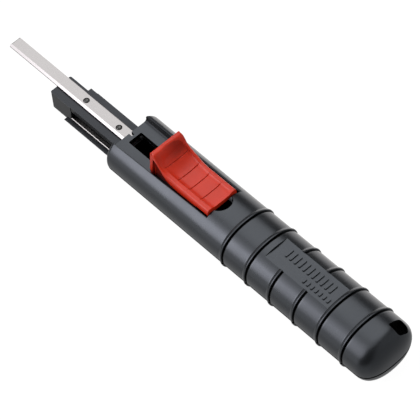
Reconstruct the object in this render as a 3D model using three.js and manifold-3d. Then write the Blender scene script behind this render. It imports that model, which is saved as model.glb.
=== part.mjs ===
// Hand tool for punch down blocks: a ribbed handle whose thumb slide drives a carriage with a
// long flat blade over a fixed guide arm. Millimetres. +Y points to the blade's tip, +Z is up,
// and the origin is under the middle of the tool, on the plane that it rests on.

import * as THREE from 'three';
import { mergeVertices } from 'three/addons/utils/BufferGeometryUtils.js';
import Module from 'manifold-3d';

const wasm = await Module();
wasm.setup();

// ---- driving dimensions -------------------------------------------------------------------

const GAP = 0.3;                  // clearance between neighbouring pieces
const PAST = 5;                   // how far a cutting solid runs past what it cuts

// Handle: a superellipse section along Y, about an axis AXIS_Z above the resting plane.
const HALF_WIDTH = 14;
const HALF_HEIGHT = 11.4;
const ROUNDNESS = 2.19;           // exponent of the superellipse
const AXIS_Z = 11;
const TAIL_Y = -109.1;
const MOUTH_Y = 39.7;
const TAIL_DEPTH = 8;             // length of the domed tail
const TAIL_ROUNDNESS = 2.6;
const MOUTH_EDGE = 2;             // rounding round the mouth
const AROUND = 40;                // facets round the section

const RING_COUNT = 6;
const RING_PITCH = 13.2;
const FIRST_RING_Y = -28.4;       // rear edge of the front ring
const RING_WIDTH = 1.7;
const RING_HEIGHT = 0.5;

const PANEL = { halfWidth: 5.9, front: -45, back: -79.4 };   // flat recess on top of the grip

const PARTING_Z = AXIS_Z - 2.6;   // plane between the two shells

// Channel in the top of the handle, where the button slides.
const CHANNEL = { right: 8.9, leftBack: -8.3, leftFront: -9.3 };   // the left rail tapers
const CHANNEL_FLOOR = AXIS_Z + 5.3;
const CHANNEL_BACK = -15;
const RELIEF_RADIUS = 5.1;        // round relief behind the button
const SLOT_HALF = 3.4;
const SLOT_FRONT = MOUTH_Y - 3;
const SLOT_BACK = CHANNEL_BACK + 3;
const BRIDGE_NOTCH = { half: 0.75, depth: 1.7 };

// Hollows in the shells, from front to back: the slideway, the bulkhead and the spring chamber.
const SLIDEWAY_HALF = 6.5;
const SLIDEWAY_TOP = CHANNEL_FLOOR - 1.9;
const BULKHEAD = { front: -16.3, back: -20.3 };
const CHAMBER = { back: -87, half: 9, top: AXIS_Z + 6.8, bottom: 1.9 };
const CORE_WAY = { half: 4.8, bottom: 3.4 };

// Carriage, with the blade on its top.
const CARRIAGE_TOP = AXIS_Z + 1.1;
const CARRIAGE = { half: 6.2, underside: AXIS_Z - 1.5, front: 70.4, back: -10.3 };
const CORE = { half: 4.2, bottom: AXIS_Z - 5.5 };
const NOSE = { left: -6.4, right: 4.6, bottom: AXIS_Z - 8.6, back: 69.1, front: 81.2 };
const WELL = { half: 5.2, back: 19.5, front: 36.2, bottom: AXIS_Z - 4 };

const BLADE = { half: 2.8, thickness: 1.4, back: 36.9, tip: 110.3, bevel: 0.5, tipLength: 1.6 };
const BLADE_RIVET_Y = [66.1, 46.5];
const BLADE_RIVET = { radius: 1.1, depth: 1.6 };

// Fixed guide arm and its steel liner.
const ARM = { half: 9.2, top: AXIS_Z - 5.2, bottom: 1.4, back: 6, front: 70.6 };
const ARM_CORNER = { bulge: 1.8, foot: 4.7, rise: 0.4 };   // shape of the arm's rounded flank
const TROUGH = { half: 7.1, floor: 3.6, front: 68.8 };
const LINER = { half: 6.8, wall: 0.5, top: AXIS_Z - 5, floor: 3.9, back: 8, front: 68.8 };
const ARM_RIVET_Y = [31, 15];
const ARM_RIVET = { radius: 0.9, headRadius: 1.7, headHeight: 0.4 };

// Rod, return spring and rear stop.
const ROD = { radius: 1.5, z: AXIS_Z - 2.2, back: -78.5, front: -3.2 };
const SPRING = { radius: 2.9, wire: 0.8, turns: 14 };
const WASHER = { radius: 4, front: -72.2, thickness: 1.2 };
const NUT = { radius: 3.3, thickness: 2.6 };
const BUMPER_RADIUS = 3.8;

// Thumb button.
const BUTTON = { half: 7.7, back: -14.6, front: 19.1, bottom: CHANNEL_FLOOR + GAP };
const BUTTON_TOP = AXIS_Z + 12.3;
const LIP_TOP = AXIS_Z + 20;
const STEM = { half: 3, back: -6.3, front: 15.7 };
const SCOOP = { half: 6.3, depth: 1.1, endWall: 1.3 };
const FLANK_DEPTH = 1;
const REAR_UNDERCUT = { front: -7.8, bottom: AXIS_Z + 9.4 };   // clears the relief
const BUTTON_SCREW_Y = [10.5, 1.5];

// Screws: pan head below, plain shank above.
const SCREW = { radius: 1.1, headRadius: 2.2, headHeight: 1.5 };
const CASE_SCREWS = {
  case_screw_front_left: [-7.2, -17.8],
  case_screw_front_right: [7.2, -17.8],
  case_screw_rear_left: [-7.2, -92.3],
  case_screw_rear_right: [7.2, -92.3],
};
const CASE_SCREW_HEAD_Z = 3.9;    // top of the head
const CASE_SCREW_TOP = AXIS_Z + 1;

const LANYARD = { left: 4.9, right: 11.1, back: -106.8, front: -101, corner: 1.6 };

// ---- geometry helpers ---------------------------------------------------------------------

/** A closed three.js geometry as a solid that can be cut and joined. */
function solid(geometry) {
  const bare = geometry.clone();
  bare.deleteAttribute('normal');
  bare.deleteAttribute('uv');
  const merged = mergeVertices(bare, 1e-4);
  const index = merged.index.array;
  const triangles = [];
  for (let i = 0; i < index.length; i += 3) {
    const [a, b, c] = [index[i], index[i + 1], index[i + 2]];
    if (a !== b && b !== c && c !== a) triangles.push(a, b, c);
  }
  const body = manifold(merged.attributes.position.array, triangles);
  if (body.volume() > 0) return body;
  return manifold(merged.attributes.position.array, triangles.reverse());
}

function manifold(positions, triangles) {
  return new wasm.Manifold(new wasm.Mesh({
    numProp: 3,
    vertProperties: Float32Array.from(positions),
    triVerts: Uint32Array.from(triangles),
  }));
}

/** The solid back as a three.js geometry with flat faces. */
function geometryOf(body) {
  const mesh = body.getMesh();
  const geometry = new THREE.BufferGeometry();
  geometry.setAttribute('position', new THREE.BufferAttribute(mesh.vertProperties, 3));
  geometry.setIndex(new THREE.BufferAttribute(mesh.triVerts, 1));
  const flat = geometry.toNonIndexed();
  flat.computeVertexNormals();
  return flat;
}

function box([x0, x1], [y0, y1], [z0, z1]) {
  const geometry = new THREE.BoxGeometry(x1 - x0, y1 - y0, z1 - z0);
  geometry.translate((x0 + x1) / 2, (y0 + y1) / 2, (z0 + z1) / 2);
  return solid(geometry);
}

/** A cylinder along Z. */
function post(x, y, z0, z1, radius, sides = 20) {
  const geometry = new THREE.CylinderGeometry(radius, radius, z1 - z0, sides);
  geometry.rotateX(Math.PI / 2);
  geometry.translate(x, y, (z0 + z1) / 2);
  return solid(geometry);
}

/** A cylinder along Y, about the rod's axis. */
function rod(y0, y1, radius, sides = 20) {
  const geometry = new THREE.CylinderGeometry(radius, radius, y1 - y0, sides);
  geometry.translate(0, (y0 + y1) / 2, ROD.z);
  return solid(geometry);
}

/** Extrudes a shape drawn in (x, z) along Y. */
function alongY(shape, y0, y1, curveSegments = 8) {
  const geometry = new THREE.ExtrudeGeometry(shape, { depth: y1 - y0, bevelEnabled: false, curveSegments });
  const turn = new THREE.Matrix4().makeBasis(
    new THREE.Vector3(1, 0, 0), new THREE.Vector3(0, 0, 1), new THREE.Vector3(0, -1, 0));
  geometry.applyMatrix4(turn);
  geometry.translate(0, y1, 0);
  return solid(geometry);
}

/** Extrudes a shape drawn in (y, z) along X. */
function alongX(shape, x0, x1, curveSegments = 8) {
  const geometry = new THREE.ExtrudeGeometry(shape, { depth: x1 - x0, bevelEnabled: false, curveSegments });
  const turn = new THREE.Matrix4().makeBasis(
    new THREE.Vector3(0, 1, 0), new THREE.Vector3(0, 0, 1), new THREE.Vector3(1, 0, 0));
  geometry.applyMatrix4(turn);
  geometry.translate(x0, 0, 0);
  return solid(geometry);
}

/** Extrudes a shape drawn in (x, y) along Z. */
function alongZ(shape, z0, z1, curveSegments = 8) {
  const geometry = new THREE.ExtrudeGeometry(shape, { depth: z1 - z0, bevelEnabled: false, curveSegments });
  geometry.translate(0, 0, z0);
  return solid(geometry);
}

function polygon(points) {
  return new THREE.Shape(points.map(([u, v]) => new THREE.Vector2(u, v)));
}

/** Turns a unit-radius body of revolution about Y into the handle's superelliptic section. */
function toHandleSection(geometry) {
  const position = geometry.attributes.position;
  const power = 2 / ROUNDNESS;
  const bend = (value) => Math.sign(value) * Math.abs(value) ** power;
  for (let i = 0; i < position.count; i += 1) {
    const radius = Math.hypot(position.getX(i), position.getZ(i));
    const angle = Math.atan2(position.getZ(i), position.getX(i));
    const x = HALF_WIDTH * radius * bend(Math.cos(angle));
    const z = AXIS_Z + HALF_HEIGHT * radius * bend(Math.sin(angle));
    position.setXYZ(i, x, position.getY(i), z);
  }
  return geometry;
}

/** Height of the handle's surface above the axis at a distance x from the middle. */
function handleHeight(x) {
  return HALF_HEIGHT * (1 - Math.abs(x / HALF_WIDTH) ** ROUNDNESS) ** (1 / ROUNDNESS);
}

// ---- handle -------------------------------------------------------------------------------

/** The handle's profile, from the tail's tip to the middle of the mouth, with radius 1 on the body. */
function handleProfile() {
  const meanRadius = (HALF_WIDTH + HALF_HEIGHT) / 2;
  const points = [];
  const add = (radius, y) => points.push(new THREE.Vector2(radius, y));
  const domeSteps = 9;
  for (let i = 0; i <= domeSteps; i += 1) {
    const angle = (i / domeSteps) * Math.PI / 2;
    const radius = Math.sin(angle) ** (2 / TAIL_ROUNDNESS);
    const depth = 1 - Math.cos(angle) ** (2 / TAIL_ROUNDNESS);
    add(radius, TAIL_Y + TAIL_DEPTH * depth);
  }
  const crest = 1 + RING_HEIGHT / meanRadius;
  for (let i = RING_COUNT - 1; i >= 0; i -= 1) {
    const y = FIRST_RING_Y - RING_PITCH * i;
    add(1, y);
    add(crest, y + 0.1);
    add(crest, y + RING_WIDTH - 0.2);
    add(1, y + RING_WIDTH);
  }
  const edgeSteps = 3;
  const edge = MOUTH_EDGE / meanRadius;
  for (let i = 0; i <= edgeSteps; i += 1) {
    const angle = (i / edgeSteps) * Math.PI / 2;
    add(1 - edge * (1 - Math.cos(angle)), MOUTH_Y - MOUTH_EDGE * (1 - Math.sin(angle)));
  }
  add(0, MOUTH_Y);
  return points;
}

/** The whole handle's outside: rings, flat panel, flat underside and lanyard slot. */
function handleBlank() {
  const lathe = new THREE.LatheGeometry(handleProfile(), AROUND);
  return solid(toHandleSection(lathe)).subtract(panelRecess()).subtract(underside()).subtract(lanyardSlot());
}

/** A shallow flat in the crown that meets the round flanks at its long edges. */
function panelRecess() {
  const floor = AXIS_Z + handleHeight(PANEL.halfWidth);
  return box([-PANEL.halfWidth, PANEL.halfWidth], [PANEL.back, PANEL.front], [floor, 3 * AXIS_Z]);
}

function underside() {
  return box([-30, 30], [TAIL_Y - PAST, MOUTH_Y + PAST], [-10, 0]);
}

function lanyardSlot() {
  const { left, right, back, front, corner } = LANYARD;
  const shape = new THREE.Shape();
  shape.moveTo(left, back + corner);
  shape.absarc(left + corner, back + corner, corner, Math.PI, 1.5 * Math.PI);
  shape.absarc(right - corner, back + corner, corner, 1.5 * Math.PI, 2 * Math.PI);
  shape.absarc(right - corner, front - corner, corner, 0, 0.5 * Math.PI);
  shape.absarc(left + corner, front - corner, corner, 0.5 * Math.PI, Math.PI);
  return alongZ(shape, -PAST, 2 * AXIS_Z + PAST, 5);
}

/** The channel in the top, with its round relief behind the button, its slot and its notch. */
function channelCut() {
  const high = 3 * AXIS_Z;
  const { right, leftBack, leftFront } = CHANNEL;
  const plan = polygon([[leftBack, CHANNEL_BACK], [right, CHANNEL_BACK], [right, MOUTH_Y + PAST],
    [leftFront, MOUTH_Y + PAST]]);
  const channel = alongZ(plan, CHANNEL_FLOOR, high);
  const relief = post(0, CHANNEL_BACK + 1.4, CHANNEL_FLOOR, high, RELIEF_RADIUS, 32);
  const slot = box([-SLOT_HALF, SLOT_HALF], [SLOT_BACK, SLOT_FRONT], [AXIS_Z, high]);
  const slotEnd = post(0, SLOT_BACK, AXIS_Z, high, SLOT_HALF, 24);
  const notchWidth = [-BRIDGE_NOTCH.half, BRIDGE_NOTCH.half];
  const notch = box(notchWidth, [MOUTH_Y - BRIDGE_NOTCH.depth, MOUTH_Y + PAST], [AXIS_Z, high]);
  return channel.add(relief).add(slot).add(slotEnd).add(notch);
}

/** Room for the arm: its own section, a clearance larger, open up to the parting plane. */
function armWay() {
  return alongY(armSection(GAP, PARTING_Z), ARM.back - GAP, MOUTH_Y + PAST);
}

/** What both shells are hollowed by. */
function hollow() {
  const slideway = box([-SLIDEWAY_HALF, SLIDEWAY_HALF],
    [BULKHEAD.front, MOUTH_Y + PAST], [ARM.top - PAST, SLIDEWAY_TOP]);
  const belowParting = box([-30, 30], [-200, 200], [-10, PARTING_Z]);
  const upperSlideway = slideway.subtract(belowParting);
  const coreWay = box([-CORE_WAY.half, CORE_WAY.half],
    [BULKHEAD.front, MOUTH_Y + PAST], [CORE_WAY.bottom, AXIS_Z]);
  const chamber = box([-CHAMBER.half, CHAMBER.half],
    [CHAMBER.back, BULKHEAD.back], [AXIS_Z - 4, CHAMBER.top]);
  const lowerChamber = box([-CHAMBER.half + 3, CHAMBER.half - 3],
    [CHAMBER.back, BULKHEAD.back], [CHAMBER.bottom, AXIS_Z]);
  const rodHole = rod(BULKHEAD.back - 1, BULKHEAD.front + 1, ROD.radius + 0.4);
  const rodSlot = box([-ROD.radius - 0.4, ROD.radius + 0.4],
    [BULKHEAD.back - 1, BULKHEAD.front + 1], [PARTING_Z - 1, ROD.z]);
  return upperSlideway.add(coreWay).add(chamber).add(lowerChamber).add(rodHole).add(rodSlot).add(armWay());
}

/** Holes for the case screws: head, clearance and pilot in one. */
function caseScrewHoles() {
  const holes = Object.values(CASE_SCREWS).map(([x, y]) => {
    const counterbore = post(x, y, -PAST, CASE_SCREW_HEAD_Z + GAP, SCREW.headRadius + GAP);
    return counterbore.add(post(x, y, 0, CASE_SCREW_TOP + 1, SCREW.radius + GAP, 12));
  });
  return holes.reduce((all, hole) => all.add(hole));
}

function armRivetHoles() {
  const holes = ARM_RIVET_Y.map((y) => {
    const counterbore = post(0, y, -PAST, ARM_RIVET.headHeight + GAP, ARM_RIVET.headRadius + GAP);
    return counterbore.add(post(0, y, -PAST, TROUGH.floor + 1, ARM_RIVET.radius + GAP, 12));
  });
  return holes.reduce((all, hole) => all.add(hole));
}

function handleUpperShell() {
  const below = box([-30, 30], [-200, 200], [-10, PARTING_Z + GAP / 2]);
  return handleBlank().subtract(hollow()).subtract(channelCut()).subtract(below).subtract(caseScrewHoles());
}

function handleLowerShell() {
  const above = box([-30, 30], [-200, 200], [PARTING_Z - GAP / 2, 60]);
  return handleBlank().subtract(above).subtract(hollow()).subtract(caseScrewHoles())
    .subtract(armRivetHoles());
}

// ---- guide arm ----------------------------------------------------------------------------

/** The arm's section in (x, z): straight top and round flanks, grown by a clearance. */
function armSection(grow = 0, top = ARM.top) {
  const half = ARM.half + grow;
  const bottom = ARM.bottom - grow;
  const { bulge, foot, rise } = ARM_CORNER;
  const shape = new THREE.Shape();
  shape.moveTo(-half, top);
  if (top > ARM.top) shape.lineTo(-half, ARM.top);
  shape.quadraticCurveTo(bulge - half, bottom + rise, foot - half, bottom);
  shape.lineTo(half - foot, bottom);
  shape.quadraticCurveTo(half - bulge, bottom + rise, half, ARM.top);
  if (top > ARM.top) shape.lineTo(half, top);
  return shape;
}

function guideArm() {
  const trough = box([-TROUGH.half, TROUGH.half], [ARM.back - 1, TROUGH.front + PAST], [TROUGH.floor, 20]);
  const mouthOfTrough = box([-TROUGH.half, TROUGH.half], [TROUGH.front, TROUGH.front + PAST], [-10, 20]);
  return alongY(armSection(), ARM.back, ARM.front)
    .subtract(trough).subtract(mouthOfTrough).subtract(armRivetHoles());
}

function guideLiner() {
  const inner = LINER.half - LINER.wall;
  const section = polygon([
    [-LINER.half, LINER.top], [-LINER.half, LINER.floor], [LINER.half, LINER.floor], [LINER.half, LINER.top],
    [inner, LINER.top], [inner, LINER.floor + LINER.wall],
    [-inner, LINER.floor + LINER.wall], [-inner, LINER.top],
  ]);
  const holes = ARM_RIVET_Y.map((y) => post(0, y, 0, 10, ARM_RIVET.radius + GAP, 12));
  return alongY(section, LINER.back, LINER.front).subtract(holes[0]).subtract(holes[1]);
}

function armRivet(y) {
  const top = LINER.floor + LINER.wall + GAP;
  const shank = post(0, y, 0.3, top + 0.1, ARM_RIVET.radius, 12);
  const lowerHead = post(0, y, 0.2, 0.2 + ARM_RIVET.headHeight, ARM_RIVET.headRadius);
  return shank.add(lowerHead).add(post(0, y, top, top + ARM_RIVET.headHeight, ARM_RIVET.headRadius));
}

// ---- carriage and blade -------------------------------------------------------------------

function slideCarriage() {
  const plate = box([-CARRIAGE.half, CARRIAGE.half],
    [CARRIAGE.back, CARRIAGE.front], [CARRIAGE.underside, CARRIAGE_TOP]);
  const core = box([-CORE.half, CORE.half], [CARRIAGE.back, NOSE.back + 1], [CORE.bottom, CARRIAGE_TOP]);
  const well = box([-WELL.half, WELL.half], [WELL.back, WELL.front], [WELL.bottom, CARRIAGE_TOP + PAST]);
  const rodHole = rod(CARRIAGE.back - 1, ROD.front + GAP, ROD.radius + GAP);
  let carriage = plate.add(core).add(noseBlock()).subtract(well).subtract(rodHole);
  for (const y of BUTTON_SCREW_Y) {
    const counterbore = post(0, y, CORE.bottom - 1, CORE.bottom + 2.2, SCREW.headRadius + GAP);
    const clearance = post(0, y, CORE.bottom - 1, CARRIAGE_TOP + 1, SCREW.radius + GAP, 12);
    carriage = carriage.subtract(counterbore).subtract(clearance);
  }
  for (const y of BLADE_RIVET_Y) {
    const hole = post(0, y, CARRIAGE_TOP - BLADE_RIVET.depth - GAP, 30, BLADE_RIVET.radius + GAP);
    carriage = carriage.subtract(hole);
  }
  return carriage;
}

/** The blunt nose: a block with its front corners broken. */
function noseBlock() {
  const broken = 0.5;
  const outline = polygon([
    [NOSE.left, NOSE.back], [NOSE.right, NOSE.back], [NOSE.right, NOSE.front - broken],
    [NOSE.right - broken, NOSE.front], [NOSE.left + broken, NOSE.front], [NOSE.left, NOSE.front - broken],
  ]);
  return alongZ(outline, NOSE.bottom, CARRIAGE_TOP);
}

/** The blade: a flat strip with bevelled upper edges and a bevelled tip. */
function steelBlade() {
  const low = CARRIAGE_TOP + GAP;
  const high = low + BLADE.thickness;
  const { half, bevel, tip, tipLength } = BLADE;
  const section = polygon([
    [-half, low], [half, low], [half, high - bevel], [half - bevel, high], [bevel - half, high],
    [-half, high - bevel],
  ]);
  const tipCut = alongX(polygon([[tip - tipLength, high], [tip + 1, high], [tip + 1, low + 0.2]]),
    -half - 1, half + 1);
  const blade = alongY(section, BLADE.back, tip).subtract(tipCut);
  return BLADE_RIVET_Y.reduce((cut, y) => cut.subtract(post(0, y, 0, 30, BLADE_RIVET.radius + GAP)), blade);
}

/** A rivet through the blade into the carriage, with a low domed head. */
function bladeRivet(y) {
  const top = CARRIAGE_TOP + GAP + BLADE.thickness;
  const bottom = CARRIAGE_TOP - BLADE_RIVET.depth;
  const points = [
    [0, bottom], [BLADE_RIVET.radius, bottom], [BLADE_RIVET.radius, top - 0.1],
    [BLADE_RIVET.radius * 0.7, top + 0.05], [0, top + 0.1],
  ].map(([radius, z]) => new THREE.Vector2(radius, z));
  const geometry = new THREE.LatheGeometry(points, 20);
  geometry.rotateX(Math.PI / 2);
  geometry.translate(0, y, 0);
  return solid(geometry);
}

// ---- thumb button -------------------------------------------------------------------------

/** The button's top line in (y, z), from back to front lip, lowered by a depth. */
function buttonTopLine(path, depth) {
  const low = BUTTON_TOP - depth;
  const lip = LIP_TOP - depth;
  path.lineTo(BUTTON.back, low);
  path.lineTo(-1, low - 0.1);
  path.quadraticCurveTo(6.5, low + 0.3, 11.2, AXIS_Z + 15 - depth);
  path.quadraticCurveTo(14.4, AXIS_Z + 17 - depth, 15.7, lip);
}

/** Side view of the whole button. */
function buttonOutline() {
  const shape = new THREE.Shape();
  shape.moveTo(BUTTON.front, BUTTON.bottom);
  shape.lineTo(BUTTON.back, BUTTON.bottom);
  buttonTopLine(shape, 0);
  shape.lineTo(17.1, LIP_TOP);
  shape.lineTo(17.6, LIP_TOP - 0.5);
  shape.lineTo(BUTTON.front, BUTTON.bottom + 2);
  return shape;
}

/** Side view of what is scooped out of the top between the rims. */
function scoopOutline() {
  const shape = new THREE.Shape();
  shape.moveTo(15.7, LIP_TOP + PAST);
  shape.lineTo(BUTTON.back, LIP_TOP + PAST);
  buttonTopLine(shape, SCOOP.depth);
  return shape;
}

/** Side view of the hollow under the rim on each flank, behind the front wall. */
function flankOutline() {
  const shape = new THREE.Shape();
  shape.moveTo(BUTTON.front - 1.5, BUTTON.bottom - 1);
  shape.lineTo(16.3, AXIS_Z + 17.6);
  shape.quadraticCurveTo(13, AXIS_Z + 17.4, 11.6, AXIS_Z + 14.4);
  shape.quadraticCurveTo(8.4, AXIS_Z + 10.2, -4, AXIS_Z + 8.9);
  shape.lineTo(-12, AXIS_Z + 8);
  shape.lineTo(-12, BUTTON.bottom - 1);
  return shape;
}

function thumbButton() {
  const { half } = BUTTON;
  const body = alongX(buttonOutline(), -half, half);
  const stem = box([-STEM.half, STEM.half], [STEM.back, STEM.front],
    [CARRIAGE_TOP + GAP, BUTTON.bottom + 1]);
  const rear = box([-30, 30], [-40, BUTTON.back + SCOOP.endWall], [0, 60]);
  const scoop = alongX(scoopOutline(), -SCOOP.half, SCOOP.half).subtract(rear);
  const flanks = [-1, 1].map((side) => {
    const inner = side * (half - FLANK_DEPTH);
    const outer = side * (half + 1);
    return alongX(flankOutline(), Math.min(inner, outer), Math.max(inner, outer));
  });
  const undercut = box([-30, 30], [-40, REAR_UNDERCUT.front], [0, REAR_UNDERCUT.bottom]);
  let button = body.subtract(undercut).add(stem).subtract(scoop).subtract(flanks[0]).subtract(flanks[1]);
  for (const y of BUTTON_SCREW_Y) {
    button = button.subtract(post(0, y, CARRIAGE_TOP - 1, BUTTON.bottom + 2.5, SCREW.radius + GAP, 12));
  }
  return button;
}

// ---- rod, spring and fasteners ------------------------------------------------------------

/** Centre line of the return spring: a helix about the rod. */
class SpringCurve extends THREE.Curve {
  constructor(y0, y1) {
    super();
    this.y0 = y0;
    this.y1 = y1;
  }

  getPoint(t, target = new THREE.Vector3()) {
    const angle = t * SPRING.turns * 2 * Math.PI;
    const y = THREE.MathUtils.lerp(this.y0, this.y1, t);
    return target.set(SPRING.radius * Math.cos(angle), y, ROD.z + SPRING.radius * Math.sin(angle));
  }
}

function returnSpring() {
  const half = SPRING.wire / 2;
  const wire = new THREE.Shape();
  wire.absarc(0, 0, half, 0, Math.PI * 2);
  const curve = new SpringCurve(WASHER.front + half + GAP, BULKHEAD.back - half - GAP);
  return solid(new THREE.ExtrudeGeometry(wire, {
    steps: SPRING.turns * 10, curveSegments: 3, bevelEnabled: false, extrudePath: curve,
  }));
}

function guideRod() {
  return rod(ROD.back, ROD.front, ROD.radius);
}

function ringOnRod(y0, y1, radius, sides) {
  return rod(y0, y1, radius, sides).subtract(rod(y0 - 1, y1 + 1, ROD.radius + GAP));
}

function screw(x, y, headBottom, top) {
  const head = post(x, y, headBottom, headBottom + SCREW.headHeight, SCREW.headRadius);
  return head.add(post(x, y, headBottom + 0.5, top, SCREW.radius, 12));
}

// ---- assembly -----------------------------------------------------------------------------

const BLACK = { color: 0x43484c, roughness: 0.5, metalness: 0 };
const DARK = { color: 0x303438, roughness: 0.55, metalness: 0 };
const RED = { color: 0xc8402f, roughness: 0.4, metalness: 0 };
const STEEL = { color: 0xd4d0d0, roughness: 0.3, metalness: 1 };
const ZINC = { color: 0x9a9a98, roughness: 0.4, metalness: 1 };
const RUBBER = { color: 0x1c1c1c, roughness: 0.9, metalness: 0 };

function piece(name, body, look) {
  const mesh = new THREE.Mesh(geometryOf(body), new THREE.MeshStandardMaterial(look));
  mesh.name = name;
  return mesh;
}

function handleGroup() {
  const group = new THREE.Group();
  group.add(piece('handle_upper_shell', handleUpperShell(), BLACK));
  group.add(piece('handle_lower_shell', handleLowerShell(), BLACK));
  group.add(piece('guide_arm', guideArm(), DARK));
  group.add(piece('guide_liner', guideLiner(), STEEL));
  group.add(piece('arm_rivet_front', armRivet(ARM_RIVET_Y[0]), ZINC));
  group.add(piece('arm_rivet_rear', armRivet(ARM_RIVET_Y[1]), ZINC));
  for (const [name, [x, y]] of Object.entries(CASE_SCREWS)) {
    const headBottom = CASE_SCREW_HEAD_Z - SCREW.headHeight;
    group.add(piece(name, screw(x, y, headBottom, CASE_SCREW_TOP), ZINC));
  }
  return group;
}

function slideGroup() {
  const group = new THREE.Group();
  group.add(piece('slide_carriage', slideCarriage(), DARK));
  group.add(piece('steel_blade', steelBlade(), STEEL));
  group.add(piece('blade_rivet_front', bladeRivet(BLADE_RIVET_Y[0]), ZINC));
  group.add(piece('blade_rivet_rear', bladeRivet(BLADE_RIVET_Y[1]), ZINC));
  group.add(piece('thumb_button', thumbButton(), RED));
  const screwTop = BUTTON.bottom + 2;
  group.add(piece('button_screw_front', screw(0, BUTTON_SCREW_Y[0], CORE.bottom + 0.3, screwTop), ZINC));
  group.add(piece('button_screw_rear', screw(0, BUTTON_SCREW_Y[1], CORE.bottom + 0.3, screwTop), ZINC));
  group.add(piece('guide_rod', guideRod(), STEEL));
  const washerBack = WASHER.front - WASHER.thickness;
  const nutFront = washerBack - GAP;
  group.add(piece('spring_washer', ringOnRod(washerBack, WASHER.front, WASHER.radius), ZINC));
  group.add(piece('rod_nut', ringOnRod(nutFront - NUT.thickness, nutFront, NUT.radius, 6), ZINC));
  return group;
}

const tool = new THREE.Group();
tool.add(handleGroup());
tool.add(slideGroup());
tool.add(piece('return_spring', returnSpring(), STEEL));
tool.add(piece('stop_bumper',
  ringOnRod(BULKHEAD.front + GAP, CARRIAGE.back - GAP, BUMPER_RADIUS), RUBBER));


// The sections above are drawn from the handle's own datum; the part is centred between its ends.
tool.position.y = -(TAIL_Y + BLADE.tip) / 2;

export default tool;
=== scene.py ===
"""Looks for a punch down tool: ribbed charcoal handle, red thumb slide, riveted steel blade.

Lengths are in millimetres until a mesh is made, and in metres in the studio at the end.
+Y points to the blade's tip and +Z is up.
"""

import math

import bmesh
import bpy
import numpy as np
from mathutils import Matrix, Vector


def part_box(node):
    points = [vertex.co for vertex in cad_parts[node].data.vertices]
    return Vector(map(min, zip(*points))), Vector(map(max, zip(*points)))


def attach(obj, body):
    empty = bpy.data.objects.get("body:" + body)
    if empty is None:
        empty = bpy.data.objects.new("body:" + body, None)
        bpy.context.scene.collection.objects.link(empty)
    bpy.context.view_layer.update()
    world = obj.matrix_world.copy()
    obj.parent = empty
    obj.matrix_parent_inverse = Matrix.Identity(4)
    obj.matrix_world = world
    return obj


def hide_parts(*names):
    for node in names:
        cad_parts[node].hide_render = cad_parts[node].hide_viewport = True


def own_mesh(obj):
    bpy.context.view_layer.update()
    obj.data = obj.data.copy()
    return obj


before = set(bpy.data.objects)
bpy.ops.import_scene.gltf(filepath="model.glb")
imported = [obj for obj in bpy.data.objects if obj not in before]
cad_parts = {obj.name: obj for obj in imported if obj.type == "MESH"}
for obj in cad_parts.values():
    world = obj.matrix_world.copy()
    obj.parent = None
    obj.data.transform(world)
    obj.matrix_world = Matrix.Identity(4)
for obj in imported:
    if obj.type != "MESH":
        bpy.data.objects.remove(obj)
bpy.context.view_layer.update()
MM = 0.001


def span(node):
    """Lowest and highest corner of a CAD node, in millimetres."""
    low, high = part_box(node)
    return [c / MM for c in low], [c / MM for c in high]


def middle(node):
    """Centre of a CAD node seen from above, in millimetres."""
    low, high = span(node)
    return (low[0] + high[0]) / 2, (low[1] + high[1]) / 2


def ends(node):
    """Rear and front end of a CAD node, in millimetres."""
    low, high = span(node)
    return low[1], high[1]


# ---- taken from the CAD frame -------------------------------------------------------------

SHELL_LOW, SHELL_HIGH = span("handle_upper_shell")
BUTTON_LOW, BUTTON_HIGH = span("thumb_button")
BLADE_LOW, BLADE_HIGH = span("steel_blade")
ARM_LOW, ARM_HIGH = span("guide_arm")
LINER_LOW, LINER_HIGH = span("guide_liner")
CARRIAGE_TOP = span("slide_carriage")[1][2]
TAIL_Y, MOUTH_Y = SHELL_LOW[1], SHELL_HIGH[1]
PARTING_Z = (SHELL_LOW[2] + span("handle_lower_shell")[1][2]) / 2

CASE_SCREWS = [f"case_screw_{end}_{side}" for end in ("front", "rear") for side in ("left", "right")]
BUTTON_SCREWS = ["button_screw_front", "button_screw_rear"]
BLADE_RIVETS = ["blade_rivet_front", "blade_rivet_rear"]
ARM_RIVETS = ["arm_rivet_front", "arm_rivet_rear"]

# ---- sizes of the visual model ------------------------------------------------------------

AXIS_Z = 11.0                     # the handle's axis over the resting plane
HALF_WIDTH = 14.0
HALF_HEIGHT = 11.4
ROUNDNESS = 2.19                  # power of the section's superellipse
TAIL_DEPTH = 8.0
TAIL_ROUNDNESS = 2.6
MOUTH_EDGE = 2.0
SEAM = 0.5                        # half the width of the groove along the parting line
SEAM_DEPTH = 0.7
HAIRLINE = 0.03                   # half the gap between the shells' faces

RING_Y = [-29.0 - 13.2 * i for i in range(6)]   # rear edge of each ring
PANEL = {"half": 5.9, "front": -45.6, "back": -80.0}
LANYARD = {"left": 4.9, "right": 11.1, "back": -107.4, "front": -101.6}
TICK_ROWS = [   # left, right, how many, place of the first, pitch
    (-0.5, 3.9, 11, -51.2, 2.4),
    (-4.3, -2.1, 7, -64.6, 2.2),
]
TICK_HALF = 0.55

CHANNEL = {"right": 8.9, "left_back": 8.3, "left_front": 9.3}   # the left rail tapers
CHANNEL_FLOOR = AXIS_Z + 5.3
CHANNEL_BACK = -15.6
SLOT = {"half": 3.4, "front": 36.1, "back": -12.6}
RELIEF = {"radius": 5.1, "y": -14.2}
WALL_FILLET = 1.3                 # at the foot of the right rail
WALL_ROLL = 0.8                   # radius of the right rail's edge
LEFT_EDGE = 0.3                   # both radii on the left rail
ROLL_END = math.radians(56.3)     # where a rail's rolled edge meets the skin

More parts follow.
